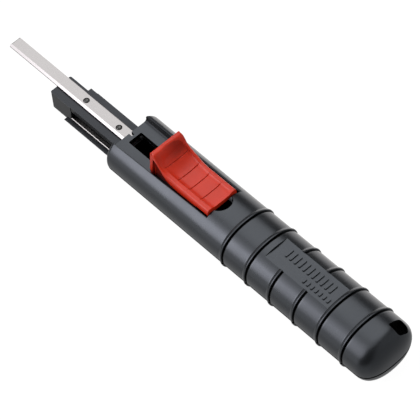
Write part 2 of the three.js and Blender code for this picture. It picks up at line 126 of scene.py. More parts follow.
SLIDEWAY_BACK = -16.9             # front face of the bulkhead
CHAMBER = {"front": -20.9, "back": -87.6}
ARM_HALF = 9.2
ARM_BOTTOM = 1.4
ROD_Z = AXIS_Z - 2.2
ROD_CENTRE = (0, 0, ROD_Z)
HEAD_BORE, PILOT_BORE = 2.5, 1.35   # radii for a screw's head and its shank
RIVET_BORE = 2.0

INSIDE_Y = 36.0                   # the slide and the arm are inside the handle behind this
AHEAD = MOUTH_Y + 5               # clear of the part, for cutters
ABOVE = 40.0
BELOW = -5.0


# ---- mesh helpers -------------------------------------------------------------------------

def mesh_object(name, points, faces):
    """A mesh from points in millimetres."""
    mesh = bpy.data.meshes.new(name)
    mesh.from_pydata([tuple(float(c) * MM for c in p) for p in points], [], faces)
    mesh.update()
    outward(mesh)
    obj = bpy.data.objects.new(name, mesh)
    bpy.context.scene.collection.objects.link(obj)
    return obj


def outward(mesh):
    """Merges doubled points and turns the faces outward."""
    bm = bmesh.new()
    bm.from_mesh(mesh)
    bmesh.ops.remove_doubles(bm, verts=bm.verts, dist=1e-7)
    bmesh.ops.recalc_face_normals(bm, faces=bm.faces)
    bm.to_mesh(mesh)
    bm.free()


def loft(name, sections):
    """A closed solid through closed sections with equally many points."""
    sections = np.asarray(sections, float)
    count, around = sections.shape[:2]
    points = sections.reshape(-1, 3)
    faces = []
    for i in range(count - 1):
        for j in range(around):
            k = (j + 1) % around
            faces.append((i * around + j, i * around + k, (i + 1) * around + k, (i + 1) * around + j))
    faces.append(tuple(range(around)))
    faces.append(tuple((count - 1) * around + j for j in range(around)))
    return mesh_object(name, points, faces)


def prism(name, outline, axis, start, end):
    """Extrudes a closed 2D outline along one axis: (y, z) along X, (x, z) along Y, (x, y) along Z."""
    def place(u, v, w):
        return {"x": (w, u, v), "y": (u, w, v), "z": (u, v, w)}[axis]
    return loft(name, [[place(u, v, w) for u, v in outline] for w in (start, end)])


def block(name, low, high):
    """A box between two corners."""
    outline = [(low[0], low[1]), (high[0], low[1]), (high[0], high[1]), (low[0], high[1])]
    return prism(name, outline, "z", low[2], high[2])


def rounded(corners, radius, steps=5):
    """A closed outline with its corners rounded. A corner may carry its own radius."""
    out = []
    count = len(corners)
    for i, corner in enumerate(corners):
        here = np.array(corner[:2], float)
        size = corner[2] if len(corner) > 2 else radius
        before = np.array(corners[i - 1][:2], float) - here
        after = np.array(corners[(i + 1) % count][:2], float) - here
        before /= np.linalg.norm(before)
        after /= np.linalg.norm(after)
        turn = math.acos(max(-1, min(1, float(before @ after))))
        if size < 1e-6 or turn > math.pi - 0.05:
            out.append(tuple(here))
            continue
        reach = size / math.tan(turn / 2)
        centre = here + (before + after) / np.linalg.norm(before + after) * size / math.sin(turn / 2)
        first = here + before * reach - centre
        last = here + after * reach - centre
        swing = math.atan2(first[0] * last[1] - first[1] * last[0], float(first @ last))
        for s in range(steps + 1):
            a = swing * s / steps
            c, d = math.cos(a), math.sin(a)
            out.append((centre[0] + c * first[0] - d * first[1], centre[1] + d * first[0] + c * first[1]))
    return out


def circle(x, y, radius, steps):
    turn = [2 * math.pi * i / steps for i in range(steps)]
    return [(x + radius * math.cos(a), y + radius * math.sin(a)) for a in turn]


def turned(name, profile, origin, axis="z", steps=40):
    """A solid of revolution from (radius, height) points, standing along an axis."""
    sections = []
    for radius, height in profile:
        ring = []
        for u, v in circle(0, 0, max(radius, 1e-3), steps):
            local = {"z": (u, v, height), "y": (v, height, u)}[axis]
            ring.append([origin[i] + local[i] for i in range(3)])
        sections.append(ring)
    return loft(name, sections)


def bake(obj):
    """Applies every modifier."""
    bpy.context.view_layer.update()
    ready = obj.evaluated_get(bpy.context.evaluated_depsgraph_get())
    mesh = bpy.data.meshes.new_from_object(ready)
    obj.modifiers.clear()
    obj.data = mesh
    return obj


def combine(target, others, operation):
    """Applies a boolean with some objects to a target and deletes them."""
    for other in others:
        modifier = target.modifiers.new("boolean", "BOOLEAN")
        modifier.operation = operation
        modifier.solver = "MANIFOLD"
        modifier.object = other
    bake(target)
    for other in others:
        bpy.data.objects.remove(other)
    return target


def cut(target, *cutters):
    return combine(target, cutters, "DIFFERENCE")


def join(target, *others):
    return combine(target, others, "UNION")


def bevel(obj, width, segments, angle):
    """Rounds the edges that are sharper than an angle."""
    modifier = obj.modifiers.new("bevel", "BEVEL")
    modifier.width = width * MM
    modifier.segments = segments
    modifier.limit_method = "ANGLE"
    modifier.angle_limit = math.radians(angle)
    modifier.use_clamp_overlap = True
    return bake(obj)


def smooth(obj, angle):
    """Smooth shading, with sharp edges beyond an angle."""
    obj.data.polygons.foreach_set("use_smooth", [True] * len(obj.data.polygons))
    obj.data.set_sharp_from_angle(angle=math.radians(angle))


def finish_piece(obj, body, slot, material, *nodes, angle=32):
    """Shades a piece, gives it its material and body, and hides the CAD nodes it stands for."""
    smooth(obj, angle)
    obj.data.materials.clear()
    obj.data.materials.append(material)
    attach(obj, body)
    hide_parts(*nodes)


# ---- materials ----------------------------------------------------------------------------

class Nodes:
    """Short hand for building one node material."""

    def __init__(self, name):
        self.material = bpy.data.materials.new(name)
        self.material.use_nodes = True
        self.tree = self.material.node_tree
        self.shader = self.tree.nodes["Principled BSDF"]
        self.place = self.add("ShaderNodeTexCoord").outputs["Object"]

    def add(self, kind, **settings):
        node = self.tree.nodes.new(kind)
        for key, value in settings.items():
            setattr(node, key, value)
        return node

    def link(self, source, target):
        self.tree.links.new(source, target)

    def noise(self, scale, detail, stretch=None, roughness=0.5):
        node = self.add("ShaderNodeTexNoise")
        node.inputs["Scale"].default_value = scale
        node.inputs["Detail"].default_value = detail
        node.inputs["Roughness"].default_value = roughness
        source = self.place
        if stretch:
            mapping = self.add("ShaderNodeMapping")
            mapping.inputs["Scale"].default_value = stretch
            self.link(source, mapping.inputs["Vector"])
            source = mapping.outputs["Vector"]
        self.link(source, node.inputs["Vector"])
        return node.outputs["Fac"]

    def ranged(self, source, low, high, start=0.3, end=0.7):
        node = self.add("ShaderNodeMapRange")
        for key, value in zip(("From Min", "From Max", "To Min", "To Max"), (start, end, low, high)):
            node.inputs[key].default_value = value
        self.link(source, node.inputs["Value"])
        return node.outputs["Result"]

    def ramp(self, source, stops):
        node = self.add("ShaderNodeValToRGB")
        ramp = node.color_ramp
        ramp.elements[0].position, ramp.elements[0].color = stops[0][0], (*stops[0][1], 1)
        ramp.elements[1].position, ramp.elements[1].color = stops[-1][0], (*stops[-1][1], 1)
        for position, color in stops[1:-1]:
            ramp.elements.new(position).color = (*color, 1)
        self.link(source, node.inputs["Fac"])
        return node.outputs["Color"]

    def mix(self, factor, a, b):
        node = self.add("ShaderNodeMix", data_type="RGBA")
        for socket, value in ((node.inputs[0], factor), (node.inputs[6], a), (node.inputs[7], b)):
            if isinstance(value, (int, float)):
                socket.default_value = value
            elif isinstance(value, tuple):
                socket.default_value = (*value, 1)
            else:
                self.link(value, socket)
        return node.outputs[2]

    def attribute(self, name):
        return self.add("ShaderNodeAttribute", attribute_name=name).outputs["Fac"]

    def bump(self, *layers):
        """Layers of (height, strength, distance in mm)."""
        normal = None
        for height, strength, distance in layers:
            node = self.add("ShaderNodeBump")
            node.inputs["Strength"].default_value = strength
            node.inputs["Distance"].default_value = distance * MM
            self.link(height, node.inputs["Height"])
            if normal is not None:
                self.link(normal, node.inputs["Normal"])
            normal = node.outputs["Normal"]
        self.link(normal, self.shader.inputs["Normal"])

    def set(self, **values):
        for key, value in values.items():
            socket = self.shader.inputs[key.replace("_", " ")]
            if isinstance(value, (int, float)):
                socket.default_value = value
            elif isinstance(value, tuple):
                socket.default_value = (*value, 1)
            else:
                self.link(value, socket)


def scaled(color, factor):
    return tuple(c * factor for c in color)


def moulded_plastic(name, color, roughness, grain, level, tint=(1, 1, 1), dark=()):
    """Moulded plastic: fine spark grain, faint flow clouding and rubbed patches.

    dark names the attributes whose painted shade darkens it. The painted black shadow also loses its gloss.
    """
    n = Nodes(name)
    clouds = n.noise(90, 4)
    rubbed = n.noise(35, 5, roughness=0.65)
    fine = n.noise(4200, 2)
    pits = n.noise(1500, 3)
    base = n.ramp(clouds, [(0.25, scaled(color, 0.88)), (0.5, color), (0.8, scaled(color, 1.14))])
    specks = n.ranged(fine, 0.0, 0.3, 0.55, 0.75)
    base = n.mix(specks, base, scaled(color, 1.35))
    sheen = tint
    rough = n.ranged(rubbed, roughness - 0.04, roughness + 0.06)
    # Each named attribute paints shade: colour and specular tint go near black where it is set.
    for shading in dark:
        mask = n.attribute(shading)
        base = n.mix(mask, base, scaled(color, 0.05))
        sheen = n.mix(mask, sheen, (0.02, 0.02, 0.02))
        if shading == "painted_shadow":
            rough = n.mix(mask, rough, (1.0, 1.0, 1.0))
    n.set(Base_Color=base, Roughness=rough)
    n.set(Specular_IOR_Level=level, Specular_Tint=sheen)
    n.bump((pits, 0.25 * grain, 0.02), (fine, 0.5 * grain, 0.008))
    return n.material


def brushed_steel(name, color, roughness, stretch, strength):
    """Steel with grinding lines along one axis and faint stains."""
    n = Nodes(name)
    lines = n.noise(1.0, 5, stretch=stretch, roughness=0.7)
    stains = n.noise(60, 4)
    base = n.ramp(lines, [(0.3, scaled(color, 0.92)), (0.55, color), (0.8, scaled(color, 1.05))])
    base = n.mix(n.ranged(stains, 0.0, 0.3, 0.5, 0.85), base, scaled(color, 0.88))
    # Painted shadow: the steel goes near black, with no edge tint, where this attribute is set.
    painted_shadow = n.attribute("painted_shadow")
    base = n.mix(painted_shadow, base, (0.004, 0.004, 0.004))
    n.set(Specular_Tint=n.mix(painted_shadow, (1.0, 1.0, 1.0), (0.01, 0.01, 0.01)))
    n.set(Base_Color=base, Metallic=1.0, Roughness=n.ranged(lines, roughness - 0.06, roughness + 0.1))
    n.bump((lines, strength, 0.01))
    return n.material


# The plastics take painted shade, and painted black shadow, from attributes on the meshes.
BLACK = moulded_plastic("charcoal_plastic", (0.0085, 0.0095, 0.0107), 0.28, grain=0.35, level=0.8,
                        tint=(0.84, 0.9, 1.0), dark=("painted_shade", "painted_shadow"))
DARK = moulded_plastic("carriage_plastic", (0.011, 0.012, 0.0135), 0.34, grain=0.35, level=0.5,
                       tint=(0.86, 0.9, 1.0), dark=("painted_shade", "painted_shadow"))
RED = moulded_plastic("red_plastic", (0.65, 0.03, 0.008), 0.34, grain=0.3, level=0.4, dark=("painted_shade",))
STEEL = brushed_steel("blade_steel", (0.385, 0.37, 0.368), 0.26, (9000, 90, 9000), 0.15)
LINER_STEEL = brushed_steel("liner_steel", (0.34, 0.33, 0.32), 0.34, (7000, 120, 7000), 0.25)
ZINC = brushed_steel("zinc_steel", (0.13, 0.13, 0.127), 0.42, (1800, 1800, 1800), 0.3)
SPRING_STEEL = brushed_steel("spring_steel", (0.5, 0.49, 0.48), 0.3, (2500, 2500, 2500), 0.2)
RUBBER = moulded_plastic("bumper_rubber", (0.02, 0.02, 0.02), 0.75, grain=0.8, level=0.3)


# ---- handle -------------------------------------------------------------------------------

def handle_height(x):
    """Height of the handle's skin over its axis."""
    return HALF_HEIGHT * (1 - abs(x / HALF_WIDTH) ** ROUNDNESS) ** (1 / ROUNDNESS)


PANEL_FLOOR = AXIS_Z + handle_height(PANEL["half"])


def superellipse(angle, extra=0.0, shrink=1.0):
    """A point of the handle's section at an angle, grown outward by extra millimetres."""
    power = 2 / ROUNDNESS
    c, s = math.cos(angle), math.sin(angle)
    x = math.copysign(abs(c) ** power, c)
    z = math.copysign(abs(s) ** power, s)
    return (HALF_WIDTH * shrink + extra) * x, (HALF_HEIGHT * shrink + extra) * z


RING_PROFILE = [   # distance ahead of a ring's rear edge, height, painted shade
    (-1.4, 0, 0), (-0.8, 0, 0), (-0.66, -0.05, 0.6), (-0.56, -0.42, 1), (-0.06, -0.42, 1), (0, 0.2, 1),
    (0.08, 0.44, 0.2), (0.22, 0.5, 0), (0.62, 0.5, 0), (0.74, 0.44, 0.45), (0.92, 0.36, 0.45),
    (1.06, 0.34, 0), (1.35, 0.22, 0), (1.62, 0.02, 0), (1.75, 0, 0.1), (2.4, 0, 0),
]


def handle_stations():
    """Stations along Y as (y, shrink, extra height, painted shade)."""
    out = []
    dome = 22
    power = 2 / TAIL_ROUNDNESS
    for i in range(dome + 1):
        angle = (0.02 + 0.98 * i / dome) * math.pi / 2
        depth = 1 - math.cos(angle) ** power
        out.append((TAIL_Y + TAIL_DEPTH * depth, math.sin(angle) ** power, 0, 0))
    for ring in reversed(RING_Y):
        out += [(ring + ahead, 1, height, painted_shade) for ahead, height, painted_shade in RING_PROFILE]
        out += [(ring + step, 1, 0, 0) for step in (5.5, 9)]
    out += [(y, 1, 0, 0) for y in range(-16, int(MOUTH_Y - MOUTH_EDGE), 5)]
    for i in range(9):
        angle = i / 8 * math.pi / 2
        back = MOUTH_EDGE * (1 - math.sin(angle))
        out.append((MOUTH_Y - back, 1, -MOUTH_EDGE * (1 - math.cos(angle)), 0))
    return [s for s in out if s[0] <= MOUTH_Y + 1e-6]


def handle_blank(name, inset=0.0):
    """The handle's outer form as one solid with a flat underside, shrunk by an inset."""
    around = 144
    sections = []
    for y, shrink, extra, _ in handle_stations():
        y += inset if shrink < 1 else 0
        ring = []
        for k in range(around):
            x, z = superellipse(2 * math.pi * k / around, extra - inset, shrink)
            ring.append((x, y, max(AXIS_Z + z, 0.0)))
        sections.append(ring)
    return loft(name, sections)


def face_data(mesh):
    """Centres in millimetres and normals of a mesh's faces."""
    centre = np.zeros(len(mesh.polygons) * 3)
    normal = np.zeros(len(mesh.polygons) * 3)
    mesh.polygons.foreach_get("center", centre)
    mesh.polygons.foreach_get("normal", normal)
    return centre.reshape(-1, 3) / MM, normal.reshape(-1, 3)


def set_values(mesh, name, values, domain="FACE"):
    layer = mesh.attributes.new(name, "FLOAT", domain)
    layer.data.foreach_set("value", np.asarray(values, np.float32))


def paint_shell_shade(obj):
    """Sets two face attributes that paint shade into the plastic.

    The first is painted shade at the foot of each ring's rear step and on the wall of the right rail.
    The second is painted black shadow on the inside of the shell, its parting line and the lanyard's hole.
    """
    stations = sorted((y, painted_shade) for y, _, _, painted_shade in handle_stations())
    along, painted_shades = zip(*stations)
    centre, normal = face_data(obj.data)
    x, y, z = centre.T
    behind_mouth = y < MOUTH_Y - 0.1
    across = (abs(x) / HALF_WIDTH) ** ROUNDNESS + (abs(z - AXIS_Z) / HALF_HEIGHT) ** ROUNDNESS
    skin = across ** (1 / ROUNDNESS) > 0.94

    on_panel = (abs(x) < PANEL["half"] + 0.01) & (z > AXIS_Z)
    on_panel &= (y > PANEL["back"] - 0.1) & (y < PANEL["front"] - 0.01)
    # Painted shade at the foot of each ring's rear step, fading where the upper right side catches light.
    painted_shade = np.where(skin & ~on_panel, np.interp(y, along, painted_shades), 0)
    painted_shade *= 1 - 0.75 * np.clip((x - 5) / 4, 0, 1) * (z > AXIS_Z)
    # Painted shade on the right rail's wall and its rolled edge.
    from_wall = x - CHANNEL["right"]
    wall = (from_wall > -WALL_FILLET) & (from_wall < 1.23) & (z > CHANNEL_FLOOR + 0.001)
    wall &= (y > CHANNEL_BACK) & behind_mouth
    shade = np.interp(from_wall, [-WALL_FILLET, -0.3, 0.4, 1.2], [0.1, 0.85, 0.8, 0.3])
    painted_shade = np.where(wall, shade, painted_shade)

    # Painted black shadow inside the shell, in the parting groove and in the lanyard's bore.
    inside = (abs(x) < CHANNEL["left_front"]) & (z > 1) & (z < CHANNEL_FLOOR - 0.05) & ~skin
    inside &= (y > -99) & behind_mouth
    parting = (abs(z - PARTING_Z) < SEAM + 0.02) & ((abs(normal[:, 2]) > 0.99) | (across < 0.97))
    parting &= y < MOUTH_Y - 0.3
    left, right, back, front = LANYARD.values()
    facing = ((left + right) / 2 - x) * normal[:, 0] + ((back + front) / 2 - y) * normal[:, 1] > 0
    bore = facing & (abs(normal[:, 2]) < 0.2) & (x > left - 0.1) & (x < right + 0.1)
    bore &= (y < front + 0.1) & (y > back - 0.1)
    set_values(obj.data, "painted_shade", painted_shade)
    set_values(obj.data, "painted_shadow", inside | parting | bore)


def crisp_panel(obj):
    """Keeps the edges round the flat panel sharp."""
    bm = bmesh.new()
    bm.from_mesh(obj.data)
    floor = PANEL_FLOOR * MM
    flat = {f for f in bm.faces if f.normal.z > 0.999 and abs(f.calc_center_median().z - floor) < 2e-5}
    for face in flat:
        for edge in face.edges:
            if any(other not in flat for other in edge.link_faces):
                edge.smooth = False
    bm.to_mesh(obj.data)
    bm.free()


def channel_side(half, roll, fillet):
    """Right side of the channel's section: a filleted floor corner and an edge that rolls outward."""
    end_x = half + roll * (1 + math.cos(ROLL_END))
    end_z = AXIS_Z + handle_height(end_x)
    centre_z = end_z - roll * math.sin(ROLL_END)
    side = []
    for i in range(7):
        a = math.radians(15 * i - 90)
        side.append((half - fillet + fillet * math.cos(a), CHANNEL_FLOOR + fillet + fillet * math.sin(a)))
    for i in range(8):
        a = math.pi + (ROLL_END - math.pi) * i / 7
        side.append((half + roll + roll * math.cos(a), centre_z + roll * math.sin(a)))
    return side + [(end_x + 0.02, end_z + 0.3), (end_x + 0.02, ABOVE)]


def channel_section(y, left):
    right_side = channel_side(CHANNEL["right"], WALL_ROLL, WALL_FILLET)
    left_side = [(-x, z) for x, z in reversed(channel_side(left, LEFT_EDGE, LEFT_EDGE))]
    return [(x, y, z) for x, z in right_side + left_side]


def channel_cutters():
    """The open channel at the front, the button's slot with its round relief, and a notch in the mouth."""
    channel = loft("channel", [channel_section(CHANNEL_BACK, CHANNEL["left_back"]),
                               channel_section(AHEAD, CHANNEL["left_front"])])
    relief = prism("relief", circle(0, RELIEF["y"], RELIEF["radius"], 64), "z", CHANNEL_FLOOR - 3, ABOVE)
    half, front = SLOT["half"], SLOT["front"]
    back = SLOT["back"] - half
    corners = [(-half, back, half - 0.01), (half, back, half - 0.01), (half, front), (-half, front)]
    slot = prism("slot", rounded(corners, 0.5, 8), "z", AXIS_Z, ABOVE)
    notch = block("notch", (-0.4, MOUTH_Y - 1.7, AXIS_Z), (0.9, AHEAD, ABOVE))
    return channel, relief, slot, notch


def panel_cutter():
    half = PANEL["half"]
    return block("panel", (-half, PANEL["back"], PANEL_FLOOR), (half, PANEL["front"], ABOVE))


def lanyard_cutter():
    left, right, back, front = LANYARD.values()
    outline = rounded([(left, back, 1.3), (right, back, 2.6), (right, front, 0.9), (left, front, 0.7)], 0)
    return prism("lanyard", outline, "z", BELOW, ABOVE)


def arm_outline(grow, top):
    """Section of the guide arm: upright sides that curve in under it."""
    half, bottom = ARM_HALF + grow, ARM_BOTTOM - grow
    side = (half, AXIS_Z - 5.2)
    corner = (half - 1.8, bottom + 0.4)
    foot = (half - 4.7, bottom)
    right = [(half, top), side]
    for i in range(1, 9):
        t = i / 8
        shares = (1 - t) ** 2, 2 * t * (1 - t), t * t
        right.append(tuple(sum(w * p[k] for w, p in zip(shares, (side, corner, foot))) for k in (0, 1)))
    return right + [(-x, z) for x, z in reversed(right)]


def hollow_cutters():
    back, front = CHAMBER["back"], CHAMBER["front"]
    return [
        block("slideway", (-6.5, SLIDEWAY_BACK, PARTING_Z - 0.5), (6.5, AHEAD, 14.4)),
        block("core_way", (-4.8, SLIDEWAY_BACK, 3.4), (4.8, AHEAD, AXIS_Z)),
        block("chamber", (-9, back, AXIS_Z - 4), (9, front, AXIS_Z + 6.8)),
        block("lower_chamber", (-6, back, 1.9), (6, front, AXIS_Z)),
        prism("arm_way", arm_outline(0.3, PARTING_Z), "y", 5.1, AHEAD),
        turned("rod_hole", [(1.9, front - 1.1), (1.9, SLIDEWAY_BACK + 0.9)], ROD_CENTRE, "y", 24),
    ]


def case_screw_cutters():
    out = []
    for node in CASE_SCREWS:
        low, high = span(node)
        out.append(prism("bore", circle(*middle(node), HEAD_BORE, 32), "z", BELOW, low[2] + 1.8))
        out.append(prism("pilot", circle(*middle(node), PILOT_BORE, 24), "z", BELOW, high[2] + 0.5))
    return out


def rivet_cutters():
    """Round pockets under the arm's rivets."""
    outlines = [circle(*middle(node), RIVET_BORE, 32) for node in ARM_RIVETS]
    return [prism("rivet_bore", outline, "z", BELOW, 1.0) for outline in outlines]


def seam_cutter():
    """A flat ring that cuts the groove along the parting line."""
    ring = block("seam", (-20, TAIL_Y - 5, PARTING_Z - SEAM), (20, MOUTH_Y - 0.6, PARTING_Z + SEAM))
    return cut(ring, handle_blank("seam_core", SEAM_DEPTH))


def ticks():
    """Plain raised tick marks on the panel: a tall row and a short row."""
    bars = []
    for row, (left, right, count, first, pitch) in enumerate(TICK_ROWS):
        for i in range(count):
            back, front = first - pitch * i - TICK_HALF, first - pitch * i + TICK_HALF
            outline = rounded([(left, back), (right, back), (right, front), (left, front)], 0.4, 4)
            bars.append(prism(f"tick_{row}_{i}", outline, "z", PANEL_FLOOR - 0.3, PANEL_FLOOR + 0.5))
    return bars


def build_handle():
    upper = handle_blank("upper_shell_skin")
    half = PANEL["half"] - 0.05
    pad = block("pad", (-half, PANEL["back"], PANEL_FLOOR - 2), (half, PANEL["front"], PANEL_FLOOR + 0.3))
    join(upper, pad)
    below = block("below", (-40, -150, -20), (40, 150, PARTING_Z + HAIRLINE))
    cut(upper, below, panel_cutter(), lanyard_cutter(), *channel_cutters(), *hollow_cutters(),
        *case_screw_cutters(), seam_cutter())
    join(upper, *ticks())
    paint_shell_shade(upper)
    finish_piece(upper, "handle", "black_plastic", BLACK, "handle_upper_shell", angle=30)
    crisp_panel(upper)
    lower = handle_blank("lower_shell_skin")
    above = block("above", (-40, -150, PARTING_Z - HAIRLINE), (40, 150, 60))
    cut(lower, above, lanyard_cutter(), *hollow_cutters(), *case_screw_cutters(), *rivet_cutters(),
        seam_cutter())
    paint_shell_shade(lower)
    finish_piece(lower, "handle", "black_plastic", BLACK, "handle_lower_shell", angle=30)


# ---- thumb button -------------------------------------------------------------------------

RIM_TOP = [   # place along the button, height over the handle's axis
    (-16, 12.25), (-3, 12.25), (3, 12.35), (7, 12.8), (9.5, 13.5), (11.5, 14.7), (13, 16.7), (14, 18.6),
    (14.8, 19.65), (15.5, 19.95), (17.2, 20),
]
RIM_FOOT = [
    (-16, 8.6), (-8, 8.6), (-3, 8.4), (3, 8.1), (7, 8.9), (9.5, 10.4), (12.4, 14), (14.8, 16.4), (17.5, 17.4),
]
LIP_TOP, LIP_FOOT = 20.0, 17.6    # the same heights at the lip
BUTTON_HALF = 7.7
BUTTON_BACK = BUTTON_LOW[1]
BUTTON_SEAT = CHANNEL_FLOOR + 0.3
REAR_WALL = 1.55                  # the flanks are recessed ahead of this
UNDERCUT = AXIS_Z + 9.4           # underside of the overhang at the rear
RIM_FLARE, RIM_RISE = 0.35, 0.9   # the right rim, towards the lip
GROOVES = [-8.75, -2.05, 4.35, 11.0]
LIP_Y = 16.65
DISH_HALF = 5.6
DISH_FRONT = 15.9                 # front edge of the dish on the middle line
DISH_STEPS = 40


def eased(value, start, end):
    t = min(1.0, max(0.0, (value - start) / (end - start)))
    return t * t * (3 - 2 * t)


def curve(points, y):
    """Height on a smooth curve through some points."""
    i = max(k for k in range(len(points) - 1) if k == 0 or points[k][0] <= y)
    (y0, z0), (y1, z1) = points[i], points[i + 1]

    def slope(k):
        a, b = points[max(k - 1, 0)], points[min(k + 1, len(points) - 1)]
        return (b[1] - a[1]) / (b[0] - a[0])
    t = (y - y0) / (y1 - y0)
    start, end = slope(i) * (y1 - y0), slope(i + 1) * (y1 - y0)
    t2, t3 = t * t, t * t * t
    return (2 * t3 - 3 * t2 + 1) * z0 + (t3 - 2 * t2 + t) * start + (3 * t2 - 2 * t3) * z1 + (t3 - t2) * end


def rim_top(y):
    return AXIS_Z + min(curve(RIM_TOP, y), LIP_TOP)


def rim_foot(y):
    return AXIS_Z + min(curve(RIM_FOOT, y), LIP_FOOT)


def button_section(y):
    """One section of the button before the dish is cut: round rims over recessed flanks.

    The right rim flares out and stands higher under the lip.
    """
    recess = 1.0 if y - BUTTON_BACK > REAR_WALL else 0.0
    top = rim_top(y)
    low = min(rim_foot(y), top - 1.8)
    inner = BUTTON_HALF - recess
    left = [(-inner, BUTTON_SEAT), (-inner, low - 0.5), (-inner - 0.15 * recess, low - 0.12),
            (-inner - 0.4 * recess, low), (-BUTTON_HALF + 0.25, low), (-BUTTON_HALF, low + 0.25)]
    reach, drop = 1.0, min(1.6, top - low - 0.4)
    for i in range(7):
        a = math.radians(15 * i)
        left.append((-BUTTON_HALF + reach * (1 - math.cos(a)), top - drop * (1 - math.sin(a))))
    flare = RIM_FLARE * eased(y, 0, 8)
    rise = RIM_RISE * eased(y, 3, 9) * (1 - eased(y, 10.5, 13.5))
    right = [(flare - x, z + rise if z > low + 0.3 else z) for x, z in reversed(left)]
    return [(x, y, z) for x, z in left + right]


def button_stations():
    back = BUTTON_BACK + 0.02
    ys = {round(back + d, 3) for d in (0, 1.5, 1.6)}
    ys |= {round(v, 3) for v in np.arange(back + 2.4, 11.4, 0.6)}
    ys |= {round(v, 3) for v in np.arange(11.6, 16.4, 0.25)}
    return sorted(ys | {LIP_Y})


def dish_depth(u, y, front):
    """How far the dish lies below the rim's line; u runs from -1 to 1 across it."""
    deepest = 0.95 + 0.15 * eased(y, -8, 4) - 0.3 * eased(y, 5, 10) + 0.7 * eased(y, 11, 14)
    depth = deepest * (1 - abs(u) ** 4) ** 0.8 * eased(front - y, 0, 2.6)
    edge = 1 - abs(u)
    band = 0.28 * (1 - eased(y - BUTTON_BACK, 1.2, 1.4))
    groove = 0.28 * sum(max(0.0, 1 - abs(y - g) / 0.24) for g in GROOVES)
    return depth + groove * min(1.0, edge / 0.16) - band * min(1.0, edge / 0.06)


def dish_rows():
    """Places along the button, closer together at the grooves, the rear band and the lip."""
    rows = {BUTTON_BACK + d for d in (-1, 0, 0.6, 1.25, 1.4)}
    rows |= set(np.arange(BUTTON_BACK + 1.9, 10.6, 0.62))
    rows |= set(np.linspace(10.6, DISH_FRONT, 28))
    rows = {r for r in rows if min(abs(r - g) for g in GROOVES) > 0.5}
    for g in GROOVES:
        rows |= {g + d for d in (-0.5, -0.26, -0.13, 0, 0.13, 0.26, 0.5)}
    return sorted(rows)


def dish_point(u, y):
    """A point of the dish. Its front edge is rounded, more on the left than on the right."""
    u2 = u * u
    if u < 0:
        half = DISH_HALF + 0.2 * eased(y, -3, 12)
        round_front = 1.5 * abs(u) ** 1.7 + u2 ** 4
    else:
        half = DISH_HALF + 1.2 * eased(y, -3, 12)
        round_front = u2 + u2 ** 4
    place = y - round_front * eased(y, 8.5, DISH_FRONT)
    return u * half, place, rim_top(place) - dish_depth(u, place, DISH_FRONT - round_front)


def dish_cutter():
    """The hollow between the rims, with four fine grooves and a band along the rear edge."""
    across = [-math.cos(math.pi * i / DISH_STEPS) for i in range(DISH_STEPS + 1)]
    rows = dish_rows()
    points = [dish_point(u, y) for y in rows for u in across]
    count, wide, last = len(points), len(across), len(rows) - 1
    points += [(x, y, ABOVE) for x, y, _ in points]
    faces = []
    for j in range(last):
        for i in range(wide - 1):
            a = j * wide + i
            faces.append((a, a + 1, a + wide + 1, a + wide))
            faces.append((count + a, count + a + wide, count + a + wide + 1, count + a + 1))
    rim = list(range(wide)) + [j * wide + wide - 1 for j in range(1, last + 1)]
    rim += [last * wide + i for i in range(wide - 2, -1, -1)] + [j * wide for j in range(last - 1, 0, -1)]
    for a, b in zip(rim, rim[1:] + rim[:1]):
        faces.append((a, b, count + b, count + a))
    return mesh_object("dish", points, faces)


def front_wall():
    """The button's leaning front wall, with a softened top edge, as an outline along X."""
    top, bottom = BUTTON_HIGH[2], BUTTON_SEAT
    back, front = 16.9, 18.5
    outline = rounded([(16.4, rim_top(16.4), 0), (LIP_Y, top, 0.15), (17.05, top, 0.35),
                       (front, bottom + 2.5, 2), (front, bottom, 0.3), (back, bottom, 0.3),
                       (back, bottom + 3, 2), (15.6, top - 2.2, 0)], 0, 4)
    wall = prism("front_wall", outline, "x", -BUTTON_HALF, BUTTON_HALF)
    return bevel(wall, 0.3, 3, 60)


def paint_button_shade(obj):
    """Paints shade into the grooves, onto the flanks and the underside, and into the hollow of the lip."""
    values = []
    for vertex in obj.data.vertices:
        x, y, z = (c / MM for c in vertex.co)
        # Painted shade: grooves, the lower flanks under the overhang, and the lip's hollow.
        groove = min(abs(y - g) for g in GROOVES) < 0.15 and abs(x) < 6.5 and z > rim_top(y) - 3.5
        outer = abs(x) > BUTTON_HALF - 1.05 or z < UNDERCUT + 0.05
        under = outer and z < rim_foot(y) + 0.02 and y < 16
        shade = 0.0
        if z < rim_top(y) - 0.3:
            shade = 0.4 * eased(y, 10.5, 13) * (1 - eased(y, 15, 15.8)) * eased(x, -4, 4)
        values.append(0.8 if under else 0.3 if groove else shade)
    set_values(obj.data, "painted_shade", values, "POINT")


def build_button():
    body = loft("thumb_button_skin", [button_section(y) for y in button_stations()])
    join(body, front_wall())
    cut(body, block("undercut", (-9, -20, 0), (9, -8.4, UNDERCUT)))
    join(body, block("stem", (-3, -6.9, BUTTON_LOW[2]), (3, 15.1, BUTTON_SEAT + 1)))
    cut(body, dish_cutter())
    paint_button_shade(body)
    finish_piece(body, "slide", "red_plastic", RED, "thumb_button", angle=38)


# ---- carriage and blade -------------------------------------------------------------------

CARRIAGE = {"half": 6.2, "back": -10.9, "front": 69.8}
CORE_HALF = 4.2
NOSE = {"left": -6.4, "right": 4.6, "back": 68.5, "front": 80.6}
WELL = {"half": 4.1, "back": 18.9, "front": 35.6}
BLADE_CHAMFER = {"width": 0.9, "depth": 0.8, "right": 0.3}   # wide on the left, small on the right
# painted shade on the upright sides of the carriage and the arm
FLANK_SHADE = 0.55


